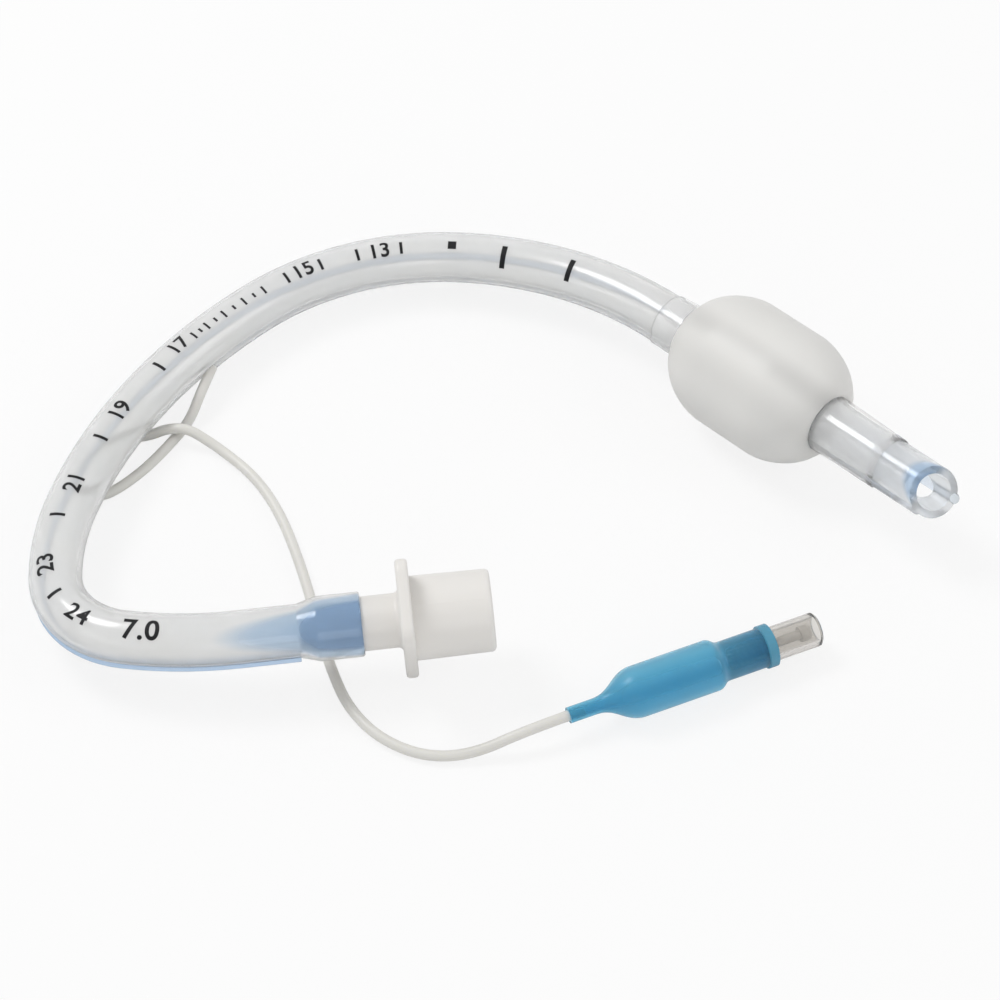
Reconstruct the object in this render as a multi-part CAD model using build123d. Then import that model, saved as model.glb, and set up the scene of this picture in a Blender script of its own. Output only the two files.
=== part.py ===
"""Cuffed endotracheal tube, 7 mm bore, lying on a table. Millimetres, +Z up.

The tube is drawn flat, from its connector end round to its tip, in a plane of its own.
It is then laid down on the three places that carry it: the cuff, the bow of the tube and
one ear of the connector's flange. The inflation line and the pilot balloon lie beside it.
"""

from build123d import *
from math import cos, pi, radians, sin, tan
import os

UP = Vector(0, 0, 1)

# Tube section
bore_d = 7.0
tube_d = 9.8
ridge_top_r = 5.45        # outer reach of the low ridge over the inflation lumen
ridge_r = 1.25
ridge_angle = -20.0       # below the bend's plane, on the inner side of the bend
lumen_d = 1.0
lumen_skin = 0.5          # wall between the lumen and the bore
stripe_d = 2.0            # blue radiopaque stripe, a rib along the outer side of the bend
stripe_reach_r = 5.6
stripe_angle = -40.0

# Tube path, connector end to tip
socket_length = 8.0       # end stretched over the connector's spigot
socket_d = 11.8
socket_cone = 3.5
socket_edge = 0.3
machine_straight = 22.3
entry_bend_r, entry_bend_angle = 72.0, 16.7
tight_bend_r, tight_bend_angle = 17.0, 74.3
rise_r, rise_angle = 56.0, 19.5
flat_r = 103.0
flat_angle_to_line = 24.2
flat_angle_past_line = 9.7
crown_r, crown_angle = 51.2, 47.8
fall_r, fall_angle = 68.1, 39.3
patient_straight = 67.9

# Tip
bevel_tilt = 26.0         # lean of the cut face away from square
bevel_facing_angle = 121.0      # direction it faces, from the outer side of the bend towards up
bevel_spare = 4.0
eye_length = 6.0
eye_width = 4.6
eye_from_tip = 5.0

# Cuff
cuff_d = 26.2
cuff_length = 35.0
cuff_crown = 13.0         # parallel middle of the barrel
cuff_to_tip = 43.7        # from the middle of the cuff to the middle of the tip
cuff_shoulder_in = 2.2    # how far in each shoulder is, half way up
cuff_shoulder_slope = 0.12
collar_d = 11.5
near_collar = 6.4
far_collar = 15.5
collar_end_d = 10.5       # each collar narrows away from the barrel
collar_skin = 0.25        # its wall over the ridge and the stripe
port_d = 1.2

# Connector
cone_d = 15.0             # at the open end
cone_taper = 1.0 / 40.0   # on diameter
cone_length = 14.4
cone_lip = 0.9            # rounding of the open end
socket_bore_d = 12.4
socket_bore_depth = 12.0
flange_length = 25.0
flange_width = 16.5
flange_corner = 3.0
flange_t = 2.3
flange_edge = 0.7
neck_root = 0.9
flange_roll = 64.7        # lean of the flange's long axis from the bend's plane
neck_d = 9.9
neck_length = 6.9
spigot_bore_d = 6.4
spigot_length = 11.0
spigot_gap = 0.05         # all round, in the stretched end of the tube
spigot_end_wall = 0.4     # the spigot's own end is thinner, to start it in the tube

# Inflation line
line_d = 2.0
line_exit_reach = 5.3     # from the tube's axis to the line's, where it comes out
line_socket_depth = 1.2
line_leaves_angle = 22.0     # angle between the line and the tube there
line_first_run = 5.0
line_in_neck = 3.0
line_last_run = 8.0
line_under_tube = 1.55    # the bow of the tube rests this much higher, on the line

# The line's route between its two ends: back under the bow, over itself and round
line_route = [
    (-58.9, 13.9, 1.0),
    (-62.0, 8.5, 1.0),
    (-66.3, 2.2, 1.0),
    (-70.6, -2.4, 1.0),
    (-73.9, -4.9, 1.0),
    (-77.2, -5.3, 1.0),
    (-80.0, -3.9, 1.0),
    (-81.4, -1.0, 1.0),
    (-80.9, 2.3, 1.0),
    (-78.4, 5.6, 1.0),
    (-74.0, 8.8, 1.0),
    (-68.9, 11.3, 1.0),
    (-64.6, 12.6, 1.3),
    (-60.6, 12.8, 3.4),
    (-56.6, 11.8, 3.4),
    (-52.8, 9.2, 1.6),
    (-47.7, 4.4, 1.0),
    (-43.6, -1.8, 1.0),
    (-40.3, -9.2, 1.0),
    (-37.4, -18.0, 1.0),
    (-34.7, -27.8, 1.0),
    (-32.3, -37.8, 1.0),
    (-29.7, -47.0, 1.0),
    (-26.4, -55.3, 1.0),
    (-20.6, -62.0, 1.0),
    (-12.6, -65.9, 1.0),
    (-4.0, -65.5, 1.2),
]

# Pilot balloon, and the film sleeve that grips the valve
balloon_wall = 0.5
balloon_neck = 5.0
balloon_flare = 8.8
balloon_d = 9.6
balloon_body = 14.4
balloon_shoulder = 2.5
sleeve_length = 9.7
clasp_d = 8.1
clasp_length = 2.0
clasp_edge = 0.15
balloon_at = (13.1, -59.5)
balloon_heading_angle = 23.4

# Valve
housing_d = 6.4
housing_out = 9.2         # part that stands out of the sleeve
housing_rim = 0.4
syringe_bore_d = 4.3
syringe_bore_depth = 9.6
web_t = 1.0
web_hole_d = 2.4
chamber_d = 4.6
stop_t = 1.0
stop_hole_d = 1.4
stem_d = 1.8
cap_d = 3.0
cap_t = 2.4
cap_below_mouth = 1.3
cap_dome_t = 0.9            # rounded part of the cap, in two facets
head_d = 3.6
head_t = 1.0
pilot_d = 1.6
pilot_length = 1.2
seal_d = 4.0
seal_t = 0.7
spring_d = 3.2
spring_wire_d = 0.4
spring_turns = 4.5

# Lie of the whole part on the table
machine_heading_angle = 5.7  # the connector's axis from +X, seen from above

tube_r = tube_d / 2
bore_r = bore_d / 2
wall = tube_r - bore_r


class Trail:
    """The tube's centreline, drawn as one run after another, each tangent to the last."""

    def __init__(self, start, heading):
        self.at = Vector(*start)
        self.heading = Vector(*heading)
        self.run = []
        self.edges = []

    def add(self, edge):
        self.run.append(edge)
        self.edges.append(edge)
        self.at = edge @ 1
        self.heading = edge % 1

    def straight(self, length):
        self.add(Line(self.at, self.at + self.heading * length))

    def bend(self, radius, turn):
        self.add(JernArc(self.at, self.heading, radius, -turn))

    def section(self):
        """The tube's own axes here: x to the outer side of the bend, y up."""
        return Plane(self.at, x_dir=UP.cross(self.heading), z_dir=self.heading)

    def end_run(self):
        path = Wire([part for edge in self.run for part in edge.edges()])
        self.run = []
        return path


def round_at(reach, angle, diameter):
    """A circle beside the tube's axis, at an angle up from the outer side."""
    spot = Pos(reach * cos(radians(angle)), reach * sin(radians(angle)))
    return spot * Circle(diameter / 2)


def turned(*outline):
    """A turned piece about the Z axis, from its outline as (radius, height) points."""
    return revolve(Plane.XZ * make_face(Polyline(*outline, close=True)), Axis.Z)


ridge_side = 180.0 - ridge_angle
lumen_reach = bore_r + lumen_skin + lumen_d / 2
ridge = round_at(ridge_top_r - ridge_r, ridge_side, 2 * ridge_r)
lumen = round_at(lumen_reach, ridge_side, lumen_d)
stripe = round_at(stripe_reach_r - stripe_d / 2, stripe_angle, stripe_d)
bore = Circle(bore_r)
plain_section = Circle(tube_r) - bore - stripe
ridged_section = Circle(tube_r) + ridge - bore - stripe


def make_tube():
    """Four lengths swept end to end, and the stretched socket at the connector end."""
    trail = Trail((-socket_length - socket_cone, 0, 0), (-1, 0, 0))
    start = trail.section()
    trail.straight(machine_straight - socket_length - socket_cone)
    trail.bend(entry_bend_r, entry_bend_angle)
    trail.bend(tight_bend_r, tight_bend_angle)
    trail.bend(rise_r, rise_angle)
    trail.bend(flat_r, flat_angle_to_line)
    machine_run = trail.end_run()
    leaving = trail.section()
    trail.bend(flat_r, flat_angle_past_line)
    trail.bend(crown_r, crown_angle)
    trail.bend(fall_r, fall_angle)
    trail.straight(patient_straight - cuff_to_tip)
    lumen_run = trail.end_run()
    cuff_middle = trail.section()
    trail.straight(cuff_to_tip)
    tip = trail.section()
    trail.straight(bevel_spare)
    tip_run = trail.end_run()

    shaft = sweep(start * plain_section, path=machine_run)
    shaft += sweep(leaving * (ridged_section - lumen), path=lumen_run)
    shaft += sweep(cuff_middle * ridged_section, path=tip_run)
    shaft += make_socket()
    blue = sweep(start * stripe, path=machine_run)
    blue += sweep(leaving * stripe, path=lumen_run)
    blue += sweep(cuff_middle * stripe, path=tip_run)

    tip_cut = cut_beyond(tip)
    shaft -= tip_cut
    blue -= tip_cut
    shaft -= tip * murphy_eye()
    shaft -= cuff_middle * inflation_port()
    return shaft, blue, leaving, cuff_middle, trail.edges


def make_socket():
    """The tube's end, stretched over the spigot, with its cone down to the plain tube."""
    wide_r = socket_d / 2
    inner_r = wide_r - wall
    end = socket_length + socket_cone
    cone = turned(
        (inner_r, 0),
        (wide_r - socket_edge, 0),
        (wide_r, socket_edge),
        (wide_r, socket_length),
        (tube_r, end),
        (bore_r, end),
        (inner_r, socket_length),
    )
    return Plane(origin=(0, 0, 0), z_dir=(-1, 0, 0)) * cone


def facing(angle):
    """A unit vector across the tube, at an angle up from the outer side."""
    return Vector(cos(radians(angle)), sin(radians(angle)), 0)


def cut_beyond(tip):
    """All that lies past the slanted face at the tip."""
    lean = radians(bevel_tilt)
    normal = facing(bevel_facing_angle) * sin(lean) + Vector(0, 0, cos(lean))
    block = 6 * tube_d
    past = Plane(origin=(0, 0, 0), z_dir=normal) * Pos(0, 0, block / 2) * Box(block, block, block)
    return tip * past


def murphy_eye():
    """The oval side hole, through the wall that the bevel faces away from."""
    outward = facing(bevel_facing_angle + 180)
    across = Plane(origin=(0, 0, -eye_from_tip), x_dir=(0, 0, 1), z_dir=outward)
    return across * extrude(Ellipse(eye_length / 2, eye_width / 2), tube_d)


def inflation_port():
    """The hole from the lumen out into the cuff, just before the lumen ends."""
    outward = facing(ridge_side)
    hole = Plane(origin=outward * lumen_reach - UP * port_d, z_dir=outward)
    return hole * extrude(Circle(port_d / 2), ridge_top_r)


def make_cuff(middle):
    """The inflated balloon and the two collars that bond it round the tube."""
    half = cuff_length / 2
    crown = cuff_crown / 2
    full = cuff_d / 2
    edge = collar_d / 2
    thin = collar_end_d / 2
    near = -half - near_collar
    far = half + far_collar
    outline = [
        Line((0, near), (thin, near)),
        Line((thin, near), (edge, -half)),
        shoulder(edge, full, -half, -crown),
        Line((full, -crown), (full, crown)),
        shoulder(edge, full, half, crown),
        Line((edge, half), (thin, far)),
        Line((thin, far), (0, far)),
        Line((0, far), (0, near)),
    ]
    barrel = revolve(Plane.XZ * make_face(Curve() + outline), Axis.Z)
    over_ridge = round_at(ridge_top_r - ridge_r, ridge_side, 2 * (ridge_r + collar_skin))
    over_stripe = round_at(stripe_reach_r - stripe_d / 2, stripe_angle, stripe_d + 2 * collar_skin)
    barrel += Pos(0, 0, near) * extrude(over_ridge + over_stripe, far - near)
    core = extrude(Circle(tube_r) + ridge + stripe, far - near)
    return middle * (barrel - Pos(0, 0, near) * core)


def shoulder(edge, full, end, crown):
    """One rounded end of the barrel, from the collar up to its parallel middle."""
    inward = 1 if crown > end else -1
    middle = ((edge + full) / 2, end + inward * cuff_shoulder_in)
    return Spline((edge, end), middle, (full, crown), tangents=[(1, inward * cuff_shoulder_slope), (0, inward)])


def make_connector():
    """The moulded 15 mm connector: spigot, neck, eared flange and tapered body."""
    spigot_r = socket_d / 2 - wall - spigot_gap
    flange_at = neck_length
    body_at = flange_at + flange_t
    mouth = body_at + cone_length
    cone_r = cone_d / 2
    root_r = cone_r + cone_length * cone_taper / 2
    body = turned(
        (0, -spigot_length),
        (spigot_bore_d / 2 + spigot_end_wall, -spigot_length),
        (spigot_r, -socket_length),
        (spigot_r, 0),
        (neck_d / 2, 0),
        (neck_d / 2, body_at),
        (root_r, body_at),
        (cone_r, mouth),
        (0, mouth),
    )
    body = fillet(body.edges().sort_by(Axis.Z)[-1], cone_lip)
    plate = extrude(RectangleRounded(flange_length, flange_width, flange_corner), flange_t)
    plate = fillet(plate.faces().sort_by(Axis.Z)[0].edges(), flange_edge)
    plate = fillet(plate.faces().sort_by(Axis.Z)[-1].edges(), flange_edge)
    body += Pos(0, 0, flange_at) * plate
    joint = body.edges().filter_by(GeomType.CIRCLE)
    roots = [edge for edge in joint if abs(edge.radius - neck_d / 2) < 0.01 and edge.center().Z > 0.5 * flange_at]
    body = fillet(roots, neck_root)
    floor = mouth - socket_bore_depth
    inner_r = spigot_bore_d / 2
    socket_r = socket_bore_d / 2
    funnel = floor - (socket_r - inner_r)
    passage = turned(
        (0, -spigot_length),
        (inner_r, -spigot_length),
        (inner_r, funnel),
        (socket_r, floor),
        (socket_r, mouth),
        (0, mouth),
    )
    roll = Rot(0, 0, 90 - flange_roll)
    return Plane(origin=(0, 0, 0), x_dir=(0, 0, 1), z_dir=(1, 0, 0)) * roll * (body - passage)


def lying(edges, cuff_middle, connector):
    """The move that lays the flat-drawn tube on its cuff, its bow and its flange."""
    flange = Vector(neck_length + flange_t / 2, 0, 0)
    flange_reach = -connector.bounding_box().min.Z
    chord = (cuff_middle.origin - flange).normalized()
    spots = [edge @ (step / 40) for edge in edges for step in range(41)]
    bow = max(spots, key=lambda spot: (spot - flange).cross(chord).length)
    near_crown = cuff_middle.origin - cuff_middle.z_dir * (cuff_crown / 2)
    under_cuff = near_crown - UP * (cuff_d / 2)
    under_bow = bow - UP * (tube_r + line_under_tube)
    under_flange = flange - UP * flange_reach
    across = (under_cuff - under_bow).cross(under_flange - under_bow)
    up = across if across.Z > 0 else across * -1
    level = Plane(under_bow, x_dir=(under_flange - under_bow), z_dir=up)
    flat = level.location.inverse()
    axis = (flat * Pos(1, 0, 0)).position - (flat * Pos(0, 0, 0)).position
    turn = machine_heading_angle - degrees_of(axis)
    return Rot(0, 0, turn) * flat


def degrees_of(vector):
    return Vector(1, 0, 0).get_signed_angle(Vector(vector.X, vector.Y, 0), UP)


def line_socket(leaving):
    """Where the inflation line is bonded in: its inner end, and the way it comes out."""
    outward = facing(ridge_side)
    lean = radians(line_leaves_angle)
    way = outward * sin(lean) - UP * cos(lean)
    inner_end = outward * line_exit_reach - way * line_socket_depth
    return Plane(leaving.location * Plane(inner_end, z_dir=way).location)


def line_points(socket, balloon):
    """All the points that the line's route turns at, from the tube to the balloon."""
    first = socket.origin
    second = first + socket.z_dir * (line_socket_depth + line_first_run)
    last = balloon.origin + balloon.z_dir * line_in_neck
    before = last - balloon.z_dir * (line_in_neck + line_last_run)
    return [first, second, *[Vector(*point) for point in line_route], before, last]


def make_line(points):
    """The line as straight runs and arcs, each arc as large as its two runs allow."""
    radii = []
    for before, corner, after in zip(points, points[1:], points[2:]):
        turn = radians((corner - before).get_angle(after - corner))
        shorter = min((corner - before).length, (after - corner).length)
        radii.append(0.45 * shorter / tan(turn / 2))
    path = FilletPolyline(*points, radius=radii)
    end = Plane(points[0], z_dir=points[1] - points[0])
    line = sweep(end * Circle(line_d / 2), path=path)
    print("line length", path.length, "volume ratio", line.volume / path.length / (pi * line_d**2 / 4))
    print("line radii", [round(radius, 1) for radius in radii])
    return line


def balloon_outline(inset):
    """The film's outer outline, or its inner one when inset by the wall."""
    neck_r = line_d / 2 + balloon_wall - inset
    full_r = balloon_d / 2 - inset
    sleeve_r = housing_d / 2 + balloon_wall - inset
    body = balloon_neck + balloon_flare
    shoulder_at = body + balloon_body
    sleeve = shoulder_at + balloon_shoulder
    end = sleeve + sleeve_length
    along = [(0, 1), (0, 1)]
    outline = [
        Line((0, 0), (neck_r, 0)),
        Line((neck_r, 0), (neck_r, balloon_neck)),
        Spline((neck_r, balloon_neck), (full_r, body), tangents=along),
        Line((full_r, body), (full_r, shoulder_at)),
        Spline((full_r, shoulder_at), (sleeve_r, sleeve), tangents=along),
        Line((sleeve_r, sleeve), (sleeve_r, end)),
        Line((sleeve_r, end), (0, end)),
        Line((0, end), (0, 0)),
    ]
    return revolve(Plane.XZ * make_face(Curve() + outline), Axis.Z)


def make_valve():
    """The one-way valve along Z, its inner end at zero, as one solid per piece."""
    mouth = sleeve_length + housing_out
    web_top = mouth - syringe_bore_depth
    web_foot = web_top - web_t
    housing_r = housing_d / 2
    port_r = syringe_bore_d / 2
    chamber_r = chamber_d / 2
    housing = turned(
        (chamber_r, 0),
        (housing_r, 0),
        (housing_r, mouth - housing_rim),
        (housing_r - housing_rim, mouth),
        (port_r + housing_rim, mouth),
        (port_r, mouth - housing_rim),
        (port_r, web_top),
        (web_hole_d / 2, web_top),
        (web_hole_d / 2, web_foot),
        (chamber_r, web_foot),
    )
    stop = Cylinder(chamber_r, stop_t, align=(Align.CENTER, Align.CENTER, Align.MIN))
    stop -= Cylinder(stop_hole_d / 2, 3 * stop_t)
    head_top = web_foot - seal_t
    head_foot = head_top - head_t
    cap_top = mouth - cap_below_mouth
    cap_r = cap_d / 2
    stem_r = stem_d / 2
    plunger = turned(
        (0, head_foot - pilot_length),
        (pilot_d / 2, head_foot - pilot_length),
        (pilot_d / 2, head_foot),
        (head_d / 2, head_foot),
        (head_d / 2, head_top),
        (stem_r, head_top),
        (stem_r, cap_top - cap_t),
        (cap_r, cap_top - cap_t),
        (cap_r, cap_top - cap_dome_t),
        (0.8 * cap_r, cap_top - cap_dome_t / 3),
        (0.4 * cap_r, cap_top),
        (0, cap_top),
    )
    seal = Pos(0, 0, head_top) * turned(
        (stem_r, 0),
        (seal_d / 2, 0),
        (seal_d / 2, seal_t / 2),
        (seal_d / 2 - seal_t / 3, seal_t),
        (stem_r, seal_t),
    )
    wire_r = spring_wire_d / 2
    coil_r = spring_d / 2 - wire_r
    height = head_foot - stop_t - spring_wire_d
    coil = Helix(height / spring_turns, height, coil_r)
    wire = sweep(Plane(coil @ 0, z_dir=coil % 0) * Circle(wire_r), path=coil, is_frenet=True)
    spring = Pos(0, 0, stop_t + wire_r) * wire
    return housing, stop, plunger, seal, spring


shaft, blue, leaving, cuff_middle, edges = make_tube()
socket = line_socket(leaving)
shaft -= socket * extrude(Circle(line_d / 2), 4 * line_d)
cuff = make_cuff(cuff_middle)
connector = make_connector()
lay = lying(edges, cuff_middle, connector)
dry = Compound(children=[lay * shaft, lay * blue, lay * cuff, lay * connector]).bounding_box()
lay = Pos(-dry.center().X, -dry.center().Y, -dry.min.Z) * lay

balloon_way = Vector(cos(radians(balloon_heading_angle)), sin(radians(balloon_heading_angle)), 0)
balloon_seat = Plane(Vector(*balloon_at, balloon_d / 2), z_dir=balloon_way)
laid_socket = Plane(lay * socket.location)
points = line_points(laid_socket, balloon_seat)
line = make_line(points)
film = balloon_outline(0) - balloon_outline(balloon_wall)
sleeve_start = balloon_neck + balloon_flare + balloon_body + balloon_shoulder
sleeve_r = housing_d / 2 + balloon_wall
clasp = Pos(0, 0, sleeve_start + sleeve_length - clasp_length) * turned(
    (sleeve_r, 0),
    (clasp_d / 2, clasp_edge),
    (clasp_d / 2, clasp_length - clasp_edge),
    (sleeve_r, clasp_length),
)
housing, stop, plunger, seal, spring = [Pos(0, 0, sleeve_start) * piece for piece in make_valve()]

pieces = {
    "tube_shaft": lay * shaft,
    "xray_stripe": lay * blue,
    "cuff": lay * cuff,
    "connector": lay * connector,
    "inflation_line": line,
    "pilot_balloon": balloon_seat * film,
    "sleeve_clasp": balloon_seat * clasp,
    "valve_housing": balloon_seat * housing,
    "valve_stop": balloon_seat * stop,
    "valve_plunger": balloon_seat * plunger,
    "valve_seal": balloon_seat * seal,
    "valve_spring": balloon_seat * spring,
}
print("tube length", sum(edge.length for edge in edges) + socket_length + socket_cone)
for point in points:
    print("line point", [round(value, 2) for value in point])

os.makedirs("parts", exist_ok=True)
for name, piece in pieces.items():
    export_step(piece, f"parts/{name}.step")
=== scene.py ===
"""A cuffed endotracheal tube on a pale table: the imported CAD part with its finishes.

Sections follow the object: the view, the inflation line, the clear tube with its stripe and its
print, the cuff, the connector, the pilot balloon and the valve in it. Metres throughout, +Z up.
"""

from math import cos, exp, pi, radians, sin, sqrt

import bmesh
import bpy
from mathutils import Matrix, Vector
from mathutils.bvhtree import BVHTree


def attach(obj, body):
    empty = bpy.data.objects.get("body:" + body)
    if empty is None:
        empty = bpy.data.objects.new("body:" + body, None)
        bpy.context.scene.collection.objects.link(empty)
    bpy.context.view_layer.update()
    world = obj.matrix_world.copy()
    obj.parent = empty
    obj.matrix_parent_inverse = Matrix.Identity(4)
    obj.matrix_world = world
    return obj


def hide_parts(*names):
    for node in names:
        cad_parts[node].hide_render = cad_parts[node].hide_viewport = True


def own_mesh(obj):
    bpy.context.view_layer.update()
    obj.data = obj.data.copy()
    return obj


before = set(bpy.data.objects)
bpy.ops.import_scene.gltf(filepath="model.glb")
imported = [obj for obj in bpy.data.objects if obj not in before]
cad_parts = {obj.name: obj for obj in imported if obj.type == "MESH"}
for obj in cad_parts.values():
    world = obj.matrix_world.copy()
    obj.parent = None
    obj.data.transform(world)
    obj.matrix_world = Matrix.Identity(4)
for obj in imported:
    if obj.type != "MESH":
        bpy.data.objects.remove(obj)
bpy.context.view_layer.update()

# The view: a long lens about 50 degrees above the table, in front of the tube's lower arm.
# The part lies on a plain pale table that runs out to white, as on a product photograph.
look_at = Vector((0.00083, -0.00275, 0.0))
view_lift = radians(50)
view_distance = 0.700
to_view = Vector((0, -cos(view_lift), sin(view_lift)))
sensor_width = 36
lens_in_frames = 3.684


def put_in(name, data):
    """Puts a mesh, a curve, a lamp or the camera into the scene."""
    item = bpy.data.objects.new(name, data)
    bpy.context.collection.objects.link(item)
    return item


camera_data = bpy.data.cameras.new("camera")
camera_data.sensor_width = sensor_width
camera_data.lens = sensor_width * lens_in_frames
camera_data.shift_y = -0.010
camera_data.clip_start = 0.01
camera = put_in("camera", camera_data)
camera.location = look_at + view_distance * to_view
camera.rotation_euler = (pi / 2 - view_lift, 0, 0)
bpy.context.scene.camera = camera


def soft_lamp(name, place, size, watts):
    """One round soft box, turned to the middle of the object."""
    lamp = bpy.data.lights.new(name, "AREA")
    lamp.shape = "DISK"
    lamp.size = size
    lamp.energy = watts
    box = put_in(name, lamp)
    box.location = place
    box.rotation_euler = (Vector((0, 0, 0)) - Vector(place)).to_track_quat("-Z", "Y").to_euler()


soft_lamp("key_lamp", (-0.45, 0.25, 0.75), 0.35, 3.1)
soft_lamp("side_lamp", (0.7, -0.1, 0.5), 0.5, 1.1)
soft_lamp("front_lamp", (0.0, -0.8, 0.35), 0.4, 0.5)


def add_node(tree, kind, **settings):
    """A shader node with its settings."""
    node = tree.nodes.new(kind)
    for setting, value in settings.items():
        setattr(node, setting, value)
    return node


def looked_at(tree):
    """Gives 1 for a look from the camera or through clear plastic, and 0 for all other light."""
    rays = add_node(tree, "ShaderNodeLightPath")
    either = add_node(tree, "ShaderNodeMath", operation="MAXIMUM")
    tree.links.new(rays.outputs["Is Camera Ray"], either.inputs[0])
    tree.links.new(rays.outputs["Is Transmission Ray"], either.inputs[1])
    return either.outputs[0]


room_light = 0.6
room_white = 1.0
world = bpy.data.worlds.new("studio")
world.use_nodes = True
bpy.context.scene.world = world
sky = world.node_tree.nodes["Background"]
sky.inputs["Color"].default_value = (1, 1, 1, 1)
sky_level = add_node(world.node_tree, "ShaderNodeMapRange")
sky_level.inputs["To Min"].default_value = room_light
sky_level.inputs["To Max"].default_value = room_white
world.node_tree.links.new(looked_at(world.node_tree), sky_level.inputs["Value"])
world.node_tree.links.new(sky_level.outputs["Result"], sky.inputs["Strength"])


def shader_of(material):
    """The one Principled shader that each material has."""
    return material.node_tree.nodes["Principled BSDF"]


def new_material(name, even):
    """A material whose even values, the same all over, are set on its shader."""
    material = bpy.data.materials.new(name)
    material.use_nodes = True
    for socket, value in even.items():
        shader_of(material).inputs[socket].default_value = value
    return material


table_reach = 3.0
table_top = -0.0003
table_glow = 0.82
table_mesh = bpy.data.meshes.new("table")
square = ((-1, -1), (1, -1), (1, 1), (-1, 1))
table_corners = [(x * table_reach, y * table_reach, table_top) for x, y in square]
table_mesh.from_pydata(table_corners, [], [(0, 1, 2, 3)])
table = put_in("table", table_mesh)
white_table = new_material("white_table", {
    "Base Color": (0.86, 0.86, 0.86, 1), "Roughness": 0.9, "Specular IOR Level": 0.0,
})
tree = white_table.node_tree
glow_share = add_node(tree, "ShaderNodeMath", operation="MULTIPLY")
glow_share.inputs[1].default_value = table_glow
glow = add_node(tree, "ShaderNodeEmission")
glow.inputs["Color"].default_value = (1, 1, 1, 1)
mix = add_node(tree, "ShaderNodeMixShader")
tree.links.new(looked_at(tree), glow_share.inputs[0])
tree.links.new(glow_share.outputs[0], mix.inputs[0])
tree.links.new(shader_of(white_table).outputs[0], mix.inputs[1])
tree.links.new(glow.outputs[0], mix.inputs[2])
tree.links.new(mix.outputs[0], tree.nodes["Material Output"].inputs["Surface"])
table_mesh.materials.append(white_table)

# A shared effect: the fine, slightly uneven skin of moulded or extruded plastic. It lets the
# colour and the gloss drift a little over a few millimetres and gives a height for the bump.
plastic_skin = bpy.data.node_groups.new("plastic_skin", "ShaderNodeTree")
for socket_name, kind, value in (
    ("Colour", "NodeSocketColor", (0.8, 0.8, 0.8, 1)),
    ("Cloud Colour", "NodeSocketColor", (0.7, 0.7, 0.7, 1)),
    ("Cloud Scale", "NodeSocketFloat", 150.0),
    ("Roughness", "NodeSocketFloat", 0.4),
    ("Roughness Drift", "NodeSocketFloat", 0.1),
    ("Grain Scale", "NodeSocketFloat", 4000.0),
):
    socket = plastic_skin.interface.new_socket(socket_name, in_out="INPUT", socket_type=kind)
    socket.default_value = value
for socket_name, kind in (
    ("Colour", "NodeSocketColor"),
    ("Roughness", "NodeSocketFloat"),
    ("Height", "NodeSocketFloat"),
):
    plastic_skin.interface.new_socket(socket_name, in_out="OUTPUT", socket_type=kind)
inlet = add_node(plastic_skin, "NodeGroupInput")
outlet = add_node(plastic_skin, "NodeGroupOutput")
place = add_node(plastic_skin, "ShaderNodeTexCoord")
cloud = add_node(plastic_skin, "ShaderNodeTexNoise")
cloud.inputs["Detail"].default_value = 3
grain = add_node(plastic_skin, "ShaderNodeTexNoise")
tint = add_node(plastic_skin, "ShaderNodeMix", data_type="RGBA")
drift = add_node(plastic_skin, "ShaderNodeMath", operation="MULTIPLY_ADD")
centred = add_node(plastic_skin, "ShaderNodeMath", operation="SUBTRACT")
centred.inputs[1].default_value = 0.5
for source, target in (
    (place.outputs["Object"], cloud.inputs["Vector"]),
    (place.outputs["Object"], grain.inputs["Vector"]),
    (inlet.outputs["Cloud Scale"], cloud.inputs["Scale"]),
    (inlet.outputs["Grain Scale"], grain.inputs["Scale"]),
    (cloud.outputs["Fac"], tint.inputs["Factor"]),
    (inlet.outputs["Colour"], tint.inputs["A"]),
    (inlet.outputs["Cloud Colour"], tint.inputs["B"]),
    (cloud.outputs["Fac"], centred.inputs[0]),
    (centred.outputs[0], drift.inputs[0]),
    (inlet.outputs["Roughness Drift"], drift.inputs[1]),
    (inlet.outputs["Roughness"], drift.inputs[2]),
    (tint.outputs["Result"], outlet.inputs["Colour"]),
    (drift.outputs[0], outlet.inputs["Roughness"]),
    (grain.outputs["Fac"], outlet.inputs["Height"]),
):
    plastic_skin.links.new(source, target)

bump_depth = 0.0001


def plastic(name, colour, cloud_colour, roughness, drift=0.1, bump=0.1, scale=150.0,
            grain=4000.0, even=None):
    """A plastic with the shared skin, its own colours and gloss, and its even shader values."""
    material = new_material(name, even or {})
    tree, shader = material.node_tree, shader_of(material)
    skin = add_node(tree, "ShaderNodeGroup", node_tree=plastic_skin)
    skin.inputs["Colour"].default_value = (*colour, 1)
    skin.inputs["Cloud Colour"].default_value = (*cloud_colour, 1)
    skin.inputs["Cloud Scale"].default_value = scale
    skin.inputs["Roughness"].default_value = roughness
    skin.inputs["Roughness Drift"].default_value = drift
    skin.inputs["Grain Scale"].default_value = grain
    dent = add_node(tree, "ShaderNodeBump")
    dent.inputs["Strength"].default_value = bump
    dent.inputs["Distance"].default_value = bump_depth
    tree.links.new(skin.outputs["Colour"], shader.inputs["Base Color"])
    tree.links.new(skin.outputs["Roughness"], shader.inputs["Roughness"])
    tree.links.new(skin.outputs["Height"], dent.inputs["Height"])
    tree.links.new(dent.outputs["Normal"], shader.inputs["Normal"])
    return material


def finish_node(node, material):
    """Gives a CAD node its finish."""
    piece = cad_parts[node]
    piece.data.materials.clear()
    piece.data.materials.append(material)
    return piece


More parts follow.
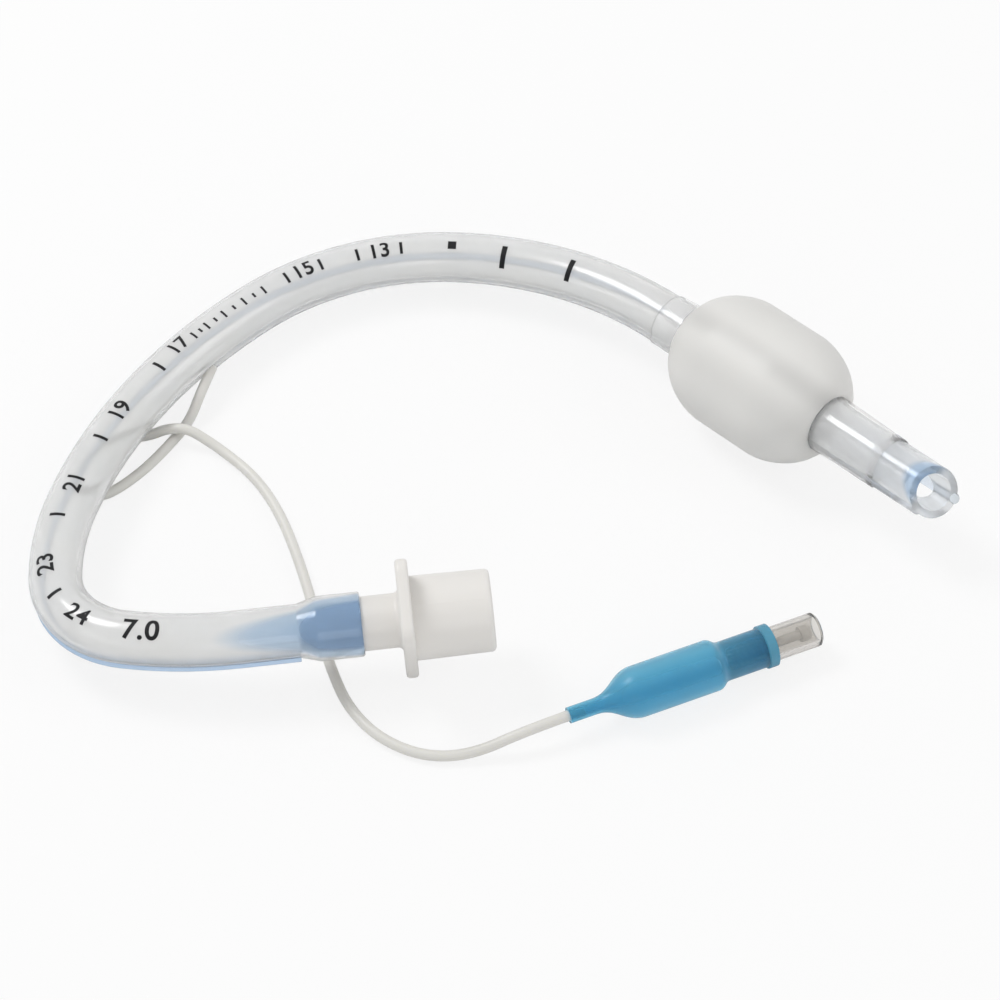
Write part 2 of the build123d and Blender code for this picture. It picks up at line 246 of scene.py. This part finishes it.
# The inflation line: a limp off-white hose, 2 mm thick, bonded into the notch of the tube. It
# lies on the table, turns back under the bow, over itself and round to the pilot balloon.
line_thickness = 0.002
line_route = [
    (-0.05487, 0.02374, 0.00536),
    (-0.05677, 0.01786, 0.00485),
    (-0.0589, 0.0139, 0.001),
    (-0.0620, 0.0085, 0.001),
    (-0.0663, 0.0022, 0.001),
    (-0.0706, -0.0024, 0.001),
    (-0.0739, -0.0049, 0.001),
    (-0.0772, -0.0053, 0.001),
    (-0.0800, -0.0039, 0.001),
    (-0.0814, -0.0010, 0.001),
    (-0.0809, 0.0023, 0.001),
    (-0.0784, 0.0056, 0.001),
    (-0.0740, 0.0082, 0.001),
    (-0.0692, 0.0096, 0.001),
    (-0.0662, 0.0100, 0.0012),
    (-0.0632, 0.0100, 0.0030),
    (-0.0592, 0.0094, 0.0040),
    (-0.0552, 0.0080, 0.0020),
    (-0.0512, 0.0052, 0.001),
    (-0.0472, 0.0012, 0.001),
    (-0.0436, -0.0038, 0.001),
    (-0.0403, -0.0104, 0.001),
    (-0.0374, -0.0186, 0.001),
    (-0.0347, -0.0278, 0.001),
    (-0.0323, -0.0378, 0.001),
    (-0.0297, -0.0470, 0.001),
    (-0.0264, -0.0553, 0.001),
    (-0.0206, -0.0620, 0.001),
    (-0.0126, -0.0659, 0.001),
    (-0.0040, -0.0655, 0.0012),
    (0.00576, -0.06268, 0.0048),
    (0.01585, -0.05831, 0.0048),
]
line_curve = bpy.data.curves.new("inflation_line_hose", "CURVE")
line_curve.dimensions = "3D"
line_curve.bevel_depth = line_thickness / 2
line_curve.bevel_resolution = 6
line_curve.resolution_u = 12
line_curve.use_fill_caps = True
spline = line_curve.splines.new("NURBS")
spline.points.add(len(line_route) - 1)
for point, spot in zip(spline.points, line_route):
    point.co = (*spot, 1)
spline.order_u = 3
spline.use_endpoint_u = True
line_hose = put_in("inflation_line_hose", line_curve)
line_white = plastic(
    "line_white", (0.765, 0.755, 0.72), (0.71, 0.70, 0.665), 0.38,
    drift=0.12, bump=0.05, scale=260.0,
    even={
        "Subsurface Weight": 0.2,
        "Subsurface Radius": (0.001, 0.001, 0.0008),
        "Subsurface Scale": 1.0,
    },
)
line_curve.materials.append(line_white)
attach(line_hose, "tube")
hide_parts("inflation_line")

# The tube's shaft: clear, slightly milky vinyl extruded with its stripe, one wall 1.4 mm thick.
# It is bent while warm, its end is cut at a slant and punched, and it stays glossy all over.
clear_vinyl = plastic(
    "clear_vinyl", (0.985, 0.982, 0.966), (0.95, 0.958, 0.966), 0.13,
    drift=0.08, bump=0.02, scale=90.0, grain=900.0,
    even={"IOR": 1.45, "Transmission Weight": 0.71},
)
finish_node("tube_shaft", clear_vinyl)


def tone_along(material, direction, span, tones):
    """Multiplies the base colour by tones, (share of the span, colour), along a direction."""
    tree, shader = material.node_tree, shader_of(material)
    spot = add_node(tree, "ShaderNodeTexCoord")
    level = add_node(tree, "ShaderNodeVectorMath", operation="DOT_PRODUCT")
    level.inputs[1].default_value = direction
    share = add_node(tree, "ShaderNodeMapRange")
    share.inputs["From Min"].default_value, share.inputs["From Max"].default_value = span
    ramp = add_node(tree, "ShaderNodeValToRGB")
    ramp.color_ramp.interpolation = "EASE"
    stops = ramp.color_ramp.elements
    while len(stops) < len(tones):
        stops.new(0.5)
    for stop, (position, _) in zip(stops, tones):
        stop.position = position
    for stop, (_, colour) in zip(stops, tones):
        stop.color = (*colour, 1)
    toned = add_node(tree, "ShaderNodeMix", data_type="RGBA", blend_type="MULTIPLY")
    toned.inputs["Factor"].default_value = 1.0
    plain = shader.inputs["Base Color"].links[0].from_socket
    tree.links.new(spot.outputs["Object"], level.inputs[0])
    tree.links.new(level.outputs["Value"], share.inputs["Value"])
    tree.links.new(share.outputs["Result"], ramp.inputs["Fac"])
    tree.links.new(plain, toned.inputs["A"])
    tree.links.new(ramp.outputs["Color"], toned.inputs["B"])
    tree.links.new(toned.outputs["Result"], shader.inputs["Base Color"])


# The slanted cut at the tip gathers the blue of the wall on its upper left, and the last of the
# tube is a little bluer than the rest.
cut_at = Vector((0.08052, -0.01794, 0.01749))
cut_facing = Vector((0.4399, -0.7747, 0.4543))
cut_level = cut_at.dot(cut_facing)
upper_left = Vector((-0.707, 0.542, 0.455))
cut_side = (upper_left - cut_facing * upper_left.dot(cut_facing)).normalized()
rim_way = cut_facing + 0.5 * cut_side
rim_level = cut_at.dot(rim_way)
rim_tones = [(0.0, (1, 1, 1)), (1.0, (0.50, 0.67, 0.88))]
tone_along(clear_vinyl, rim_way, (rim_level + 0.0004, rim_level + 0.0018), rim_tones)
tip_tones = [(0.0, (1, 1, 1)), (1.0, (0.965, 0.98, 1.0))]
tone_along(clear_vinyl, cut_facing, (cut_level - 0.030, cut_level - 0.012), tip_tones)

# The radiopaque stripe: blue vinyl run into the same wall along the outer side of the bend. Its
# tone pales near the tip and greys at the cut, as the wall's does.
stripe_blue = plastic(
    "stripe_blue", (0.84, 0.90, 0.97), (0.90, 0.94, 0.99), 0.2,
    drift=0.08, bump=0.02, scale=90.0, grain=900.0,
    even={"IOR": 1.1, "Transmission Weight": 0.88},
)
stripe_tones = [
    (0.0, (0.60, 0.71, 0.84)),
    (0.78, (1, 1, 1)),
    (0.90, (0.95, 0.95, 0.95)),
    (1.0, (0.78, 0.78, 0.76)),
]
tone_along(stripe_blue, cut_facing, (cut_level - 0.018, cut_level + 0.0002), stripe_tones)
finish_node("xray_stripe", stripe_blue)

# The print: black ink rolled on to the finished tube, a depth scale in centimetres from the
# tip, the bore in millimetres by the connector and two broad bars on the way to the cuff.
# The tube's course in its own plane: each run is (straight length, bend radius, degrees).
tube_runs = [
    (0.0223, 0, 0),
    (0, 0.072, 16.7),
    (0, 0.017, 74.3),
    (0, 0.056, 19.5),
    (0, 0.103, 33.9),
    (0, 0.0512, 47.8),
    (0, 0.0681, 39.3),
    (0.0679, 0, 0),
]
tube_start = Vector((-0.023943, -0.045438, 0.013434))
flat_x = Vector((0.99383, 0.0992, 0.04953))
flat_y = Vector((-0.09549, 0.9928, -0.07227))
flat_up = Vector((-0.05634, 0.0671, 0.99615))
tube_radius = 0.0049


def tube_at(s):
    """The tube's centre and heading at a distance from its connector end."""
    spot, turn = Vector((0, 0)), pi
    for length, radius, degrees in tube_runs:
        run_length = length or radius * radians(degrees)
        step = min(s, run_length)
        heading = Vector((cos(turn), sin(turn)))
        if radius:
            centre = spot + radius * Vector((heading.y, -heading.x))
            bend = step / radius
            arm = spot - centre
            spot = centre + Vector(
                (arm.x * cos(bend) + arm.y * sin(bend), arm.y * cos(bend) - arm.x * sin(bend))
            )
            turn -= bend
        else:
            spot = spot + heading * step
        s -= step
        if s <= 0:
            break
    heading = Vector((cos(turn), sin(turn)))
    return (
        tube_start + flat_x * spot.x + flat_y * spot.y,
        flat_x * heading.x + flat_y * heading.y,
    )


def on_tube(s, angle, reach):
    """A point beside the tube's centre, at an angle up from the outer side of the bend."""
    centre, heading = tube_at(s)
    outer = flat_up.cross(heading)
    return centre + reach * (cos(angle) * outer + sin(angle) * flat_up)


# Where the print runs on the tube's side: (distance from the connector end, degrees).
ink_lane = [
    (0.0392, 68), (0.0575, 73), (0.0647, 76), (0.0767, 88), (0.0852, 99),
    (0.1052, 99), (0.1187, 98), (0.1251, 92), (0.1290, 99), (0.1470, 106),
    (0.1564, 105), (0.1725, 111), (0.1874, 109), (0.1982, 127), (0.2126, 123.5),
]
ink_height = 0.00004
ink_facet = 0.0004
outside_tube = 0.007
tube_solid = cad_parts["tube_shaft"]
tube_skin = BVHTree.FromPolygons(
    [tube_solid.matrix_world @ v.co for v in tube_solid.data.vertices],
    [tuple(face.vertices) for face in tube_solid.data.polygons],
)


def lane_angle(s):
    """The lane's angle at a distance, which wanders a little along the tube."""
    if s <= ink_lane[0][0]:
        return radians(ink_lane[0][1])
    for (s0, a0), (s1, a1) in zip(ink_lane, ink_lane[1:]):
        if s <= s1:
            return radians(a0 + (a1 - a0) * (s - s0) / (s1 - s0))
    return radians(ink_lane[-1][1])


def roll_on(shape, s, flipped):
    """Wraps a flat mark, drawn along x with its top to +y, on to the tube's own skin at s."""
    for axis in (Vector((1, 0, 0)), Vector((0, 1, 0))):
        across = [v.co.dot(axis) for v in shape.verts]
        cut = min(across) + ink_facet
        while cut < max(across):
            everything = shape.verts[:] + shape.edges[:] + shape.faces[:]
            bmesh.ops.bisect_plane(shape, geom=everything, plane_co=axis * cut, plane_no=axis)
            cut += ink_facet
    side = -1 if flipped else 1
    around = lane_angle(s)
    for v in shape.verts:
        angle = around - side * v.co.y / tube_radius
        centre, _ = tube_at(s + side * v.co.x)
        outward = (on_tube(s + side * v.co.x, angle, 1) - centre).normalized()
        skin = tube_skin.ray_cast(centre + outward * outside_tube, -outward)[0]
        v.co = skin + outward * ink_height


def bar(length, width):
    """A plain mark across the tube: its width runs along the tube."""
    shape = bmesh.new()
    shape.faces.new([shape.verts.new((x * width / 2, y * length / 2, 0)) for x, y in square])
    return shape


# The built-in type draws a figure 0.71 high at size 1.
figure_height = 0.71


def numeral(text, height):
    """A plain bold number as a flat shape, centred. It is drawn large, then brought to size."""
    curve = bpy.data.curves.new("numeral", "FONT")
    curve.body = text
    curve.align_x = "CENTER"
    curve.align_y = "CENTER"
    curve.offset = 0.022
    curve.space_character = 1.06
    piece = put_in("numeral", curve)
    drawn = piece.evaluated_get(bpy.context.evaluated_depsgraph_get())
    flat = bpy.data.meshes.new_from_object(drawn)
    shape = bmesh.new()
    shape.from_mesh(flat)
    bmesh.ops.scale(shape, vec=[height / figure_height] * 3, verts=shape.verts)
    bpy.data.objects.remove(piece)
    bpy.data.meshes.remove(flat)
    bpy.data.curves.remove(curve)
    return shape


# Numbers: (text, height, distance, turned to be read from the other side).
# Bars: (length across the tube, width along it, distances).
scale_numbers = [
    ("7.0", 0.0038, 0.0392, True),
    ("24", 0.0031, 0.0510, True),
    ("23", 0.0033, 0.0647, False),
    ("21", 0.0033, 0.0852, False),
    ("19", 0.0033, 0.1052, False),
    ("17", 0.0031, 0.1251, False),
    ("15", 0.0031, 0.1564, False),
    ("13", 0.0031, 0.1725, False),
]
scale_bars = [
    (0.0030, 0.0007, (0.0575, 0.0767, 0.0975, 0.1187)),
    (0.0019, 0.0005, (0.1290, 0.1325, 0.1370, 0.1421, 0.1470)),
    (0.0011, 0.0005, (0.1308, 0.1348, 0.1396, 0.1446)),
    (0.0026, 0.0006, (0.1526, 0.1602, 0.1680, 0.1770)),
    (0.0017, 0.0017, (0.1874,)),
    (0.0046, 0.0011, (0.1982, 0.2126)),
]
marks = [(numeral(text, height), s, flipped) for text, height, s, flipped in scale_numbers]
marks += [(bar(length, width), s, False) for length, width, spots in scale_bars for s in spots]
ink = bmesh.new()
for shape, s, flipped in marks:
    roll_on(shape, s, flipped)
    mark_mesh = bpy.data.meshes.new("mark")
    shape.to_mesh(mark_mesh)
    ink.from_mesh(mark_mesh)
    bpy.data.meshes.remove(mark_mesh)
    shape.free()
print_mesh = bpy.data.meshes.new("depth_print")
ink.to_mesh(print_mesh)
ink.free()
depth_print = put_in("depth_print", print_mesh)
print_mesh.materials.append(plastic(
    "ink_black", (0.008, 0.008, 0.009), (0.018, 0.018, 0.02), 0.45, drift=0.2, scale=900.0,
    even={"Specular IOR Level": 0.15},
))
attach(depth_print, "tube")

# The cuff: a barrel of thin milky film, blown up with air. Its two clear collars are glued round
# the tube, over the ridge and the stripe, and narrow away from the barrel.
cuff_middle = 0.2590
barrel_half = 0.0175
barrel_crown = 0.0065
barrel_radius = 0.0131
shoulder_power = 1.68
film = 0.00015
pleat_depth = 0.00012
pleat_run = 0.0022
near_collar_length = 0.0064
far_collar_length = 0.0155
collar_radius = 0.00575
collar_end_radius = 0.00525
collar_skin = 0.00025
collar_tuck = 0.00004
glue_gap = 0.00004
round_steps = 96
barrel_steps = 40
collar_steps = 6

# What stands out from the tube under the collars: (degrees, distance of its middle, radius).
line_ridge = (200, 0.0042, 0.00125)
stripe_rib = (-40, 0.0046, 0.0010)


def rib_reach(angle, rib, skin):
    """How far a rib on the tube, under a skin, reaches out at an angle round it."""
    degrees, middle, radius = rib
    radius += skin
    off = angle - radians(degrees)
    side = middle * sin(off)
    if cos(off) <= 0 or abs(side) >= radius:
        return 0.0
    return middle * cos(off) + sqrt(radius * radius - side * side)


def tube_reach(angle, skin):
    """The outside of a skin on the tube, with its ridge and its stripe."""
    ribs = (rib_reach(angle, rib, skin) for rib in (line_ridge, stripe_rib))
    return max(tube_radius + skin, *ribs)


def barrel_reach(along):
    """The barrel's radius at a distance from its middle: parallel, with two round shoulders."""
    share = max(0.0, (abs(along) - barrel_crown) / (barrel_half - barrel_crown))
    rise = max(0.0, 1 - share**shoulder_power) ** (1 / shoulder_power)
    return collar_radius + (barrel_radius - collar_radius) * rise


def pleated(along, inset):
    """The film's radius there, with shallow uneven pleats that run out of each collar."""
    gathered = exp(-(((barrel_half - abs(along)) / pleat_run) ** 2))

    def reach(angle):
        wave = sin(11 * angle + 1.3 * sin(3 * angle)) * sin(5 * angle + 0.7)
        return barrel_reach(along) - inset - pleat_depth * gathered * (1 + wave)

    return reach


def lathe(name, rings, material):
    """A closed skin round the tube from rings of (distance, radius as a function of angle)."""
    shape = bmesh.new()
    loops = []
    for along, reach in rings:
        loops.append([
            shape.verts.new(on_tube(cuff_middle + along, angle, reach(angle)))
            for angle in (2 * pi * k / round_steps for k in range(round_steps))
        ])
    for first, second in zip(loops, loops[1:] + loops[:1]):
        for k in range(round_steps):
            m = (k + 1) % round_steps
            shape.faces.new((first[k], first[m], second[m], second[k]))
    bmesh.ops.recalc_face_normals(shape, faces=shape.faces[:])
    for face in shape.faces:
        face.smooth = True
    skin = bpy.data.meshes.new(name)
    shape.to_mesh(skin)
    shape.free()
    skin.materials.append(material)
    piece = put_in(name, skin)
    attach(piece, "tube")
    return piece


cuff_milk = plastic(
    "cuff_milk", (0.935, 0.925, 0.895), (0.90, 0.895, 0.875), 0.40,
    drift=0.12, bump=0.03, scale=60.0, grain=1200.0,
    even={
        "Transmission Weight": 0.2,
        "IOR": 1.3,
        "Coat Weight": 0.15,
        "Coat Roughness": 0.3,
    },
)
# Painted light and shade on the cuff: tones across the barrel, laid out square to the camera's
# view, paint soft streaks along it, pale ones as painted highlights and a darker one as painted
# shade where the tube shows through the film.
barrel_centre, barrel_heading = tube_at(cuff_middle)
barrel_across = barrel_heading.cross(to_view).normalized()
barrel_level = barrel_centre.dot(barrel_across)
barrel_span = (barrel_level - barrel_radius, barrel_level + barrel_radius)
painted_streaks = [
    (0.0, 0.95), (0.26, 1.0), (0.40, 0.87), (0.53, 1.0), (0.68, 0.96), (0.82, 1.0), (1.0, 0.96),
]
painted_streak_tones = [(share, (tone, tone, tone)) for share, tone in painted_streaks]
tone_along(cuff_milk, barrel_across, barrel_span, painted_streak_tones)

stations = [-barrel_half * cos(pi * k / barrel_steps) for k in range(barrel_steps + 1)]
film_rings = [(along, pleated(along, 0)) for along in stations]
film_rings += [(along, pleated(along, film)) for along in reversed(stations)]
film_barrel = lathe("film_barrel", film_rings, cuff_milk)

clear_collar = plastic(
    "clear_collar", (0.99, 0.985, 0.975), (0.96, 0.965, 0.975), 0.16,
    drift=0.08, bump=0.03, scale=120.0, grain=900.0,
    even={
        "IOR": 1.05,
        "Transmission Weight": 0.85,
        "Coat Weight": 0.5,
        "Coat Roughness": 0.1,
    },
)


def collar(name, inner_end, outer_end):
    """One glued collar: a thin sleeve from the barrel to its narrow end."""
    outside, inside = [], []
    for k in range(collar_steps + 1):
        along = inner_end + (outer_end - inner_end) * k / collar_steps
        narrowed = (collar_end_radius - collar_radius) * k / collar_steps
        radius = collar_radius + narrowed - collar_tuck
        outside.append((along, lambda angle, r=radius: max(r, tube_reach(angle, collar_skin))))
        inside.append((along, lambda angle: tube_reach(angle, glue_gap)))
    return lathe(name, outside + inside[::-1], clear_collar)


near_collar = collar("near_collar", -barrel_half, -barrel_half - near_collar_length)
far_collar = collar("far_collar", barrel_half, barrel_half + far_collar_length)
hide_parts("cuff")
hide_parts("cuff")
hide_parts("cuff")

# The connector: one white moulding with its spigot pressed into the tube's end. It is a hard
# plastic with a soft, slightly waxy gloss.
connector_white = plastic(
    "connector_white", (0.83, 0.81, 0.78), (0.80, 0.78, 0.75), 0.36,
    drift=0.1, bump=0.06, scale=80.0,
    even={
        "Subsurface Weight": 0.15,
        "Subsurface Radius": (0.002, 0.002, 0.0018),
        "Subsurface Scale": 1.0,
    },
)
finish_node("connector", connector_white)

# The pilot balloon: a blue film bag with its neck on the line and its sleeve on the valve. A
# ring of a deeper blue grips the sleeve there.
balloon_blue = plastic(
    "balloon_blue", (0.24, 0.64, 0.80), (0.31, 0.70, 0.85), 0.24,
    drift=0.12, bump=0.05, scale=130.0, grain=1500.0,
    even={
        "IOR": 1.2,
        "Transmission Weight": 0.72,
        "Coat Weight": 0.35,
        "Coat Roughness": 0.35,
        "Sheen Weight": 0.35,
        "Sheen Tint": (0.75, 0.9, 1, 1),
    },
)
balloon_skin = finish_node("pilot_balloon", balloon_blue)


def extent(piece, direction):
    """How far a piece reaches along a direction, from its lowest to its highest point."""
    reaches = [direction.dot(piece.matrix_world @ v.co) for v in piece.data.vertices]
    return min(reaches), max(reaches)


# Painted light and shade on the balloon, laid out across it as the camera sees it: painted
# highlights along the film's upper and lower edges and painted shade across its middle. Painted
# shade also darkens the sleeve where the valve inside shows through.
balloon_heading = (Vector(line_route[-1]) - Vector(line_route[-2])).normalized()
upper_side = balloon_heading.cross(to_view).normalized() * -1
painted_light_across_balloon = [
    (0.0, (0.90, 0.97, 1.0)),
    (0.22, (0.70, 0.88, 0.95)),
    (0.45, (0.46, 0.76, 0.87)),
    (0.70, (0.74, 0.90, 0.95)),
    (0.88, (1.0, 1.0, 1.0)),
    (1.0, (0.90, 0.97, 1.0)),
]
painted_sleeve_shade = [
    (0.0, (1, 1, 1)),
    (0.70, (1, 1, 1)),
    (0.80, (0.62, 0.80, 0.90)),
    (0.95, (0.40, 0.66, 0.82)),
]
tone_along(balloon_blue, upper_side, extent(balloon_skin, upper_side), painted_light_across_balloon)
tone_along(balloon_blue, balloon_heading, extent(balloon_skin, balloon_heading), painted_sleeve_shade)
clasp_blue = plastic(
    "clasp_blue", (0.12, 0.46, 0.66), (0.16, 0.50, 0.70), 0.25, bump=0.04,
    even={"Transmission Weight": 0.4},
)
finish_node("sleeve_clasp", clasp_blue)

# The valve: a clear housing that takes the syringe, with a white plunger, its stop disc, a soft
# seal and a wire spring inside.
clear_housing = plastic(
    "clear_housing", (0.78, 0.76, 0.73), (0.74, 0.72, 0.69), 0.06,
    drift=0.04, bump=0.02, scale=300.0,
    even={"IOR": 1.49, "Transmission Weight": 0.92},
)
finish_node("valve_housing", clear_housing)
plunger_white = plastic("plunger_white", (0.82, 0.81, 0.79), (0.78, 0.77, 0.75), 0.35)
finish_node("valve_plunger", plunger_white)
finish_node("valve_stop", plunger_white)
seal_rubber = plastic("seal_rubber", (0.03, 0.03, 0.03), (0.05, 0.05, 0.05), 0.6, bump=0.2)
finish_node("valve_seal", seal_rubber)
spring_steel = plastic(
    "spring_steel", (0.62, 0.62, 0.64), (0.56, 0.56, 0.58), 0.28, bump=0.03,
    even={"Metallic": 1.0},
)
spring_solid = finish_node("valve_spring", spring_steel)

# The spring shortens by the plunger's travel, against the stop disc. Here it is a copy of the
# CAD spring with a mesh of its own.
spring_coil = put_in("spring_coil", spring_solid.data.copy())
spring_coil.matrix_world = spring_solid.matrix_world
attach(spring_coil, "tube")
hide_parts("valve_spring")
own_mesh(spring_coil)

bpy.context.scene.view_settings.view_transform = "Standard"
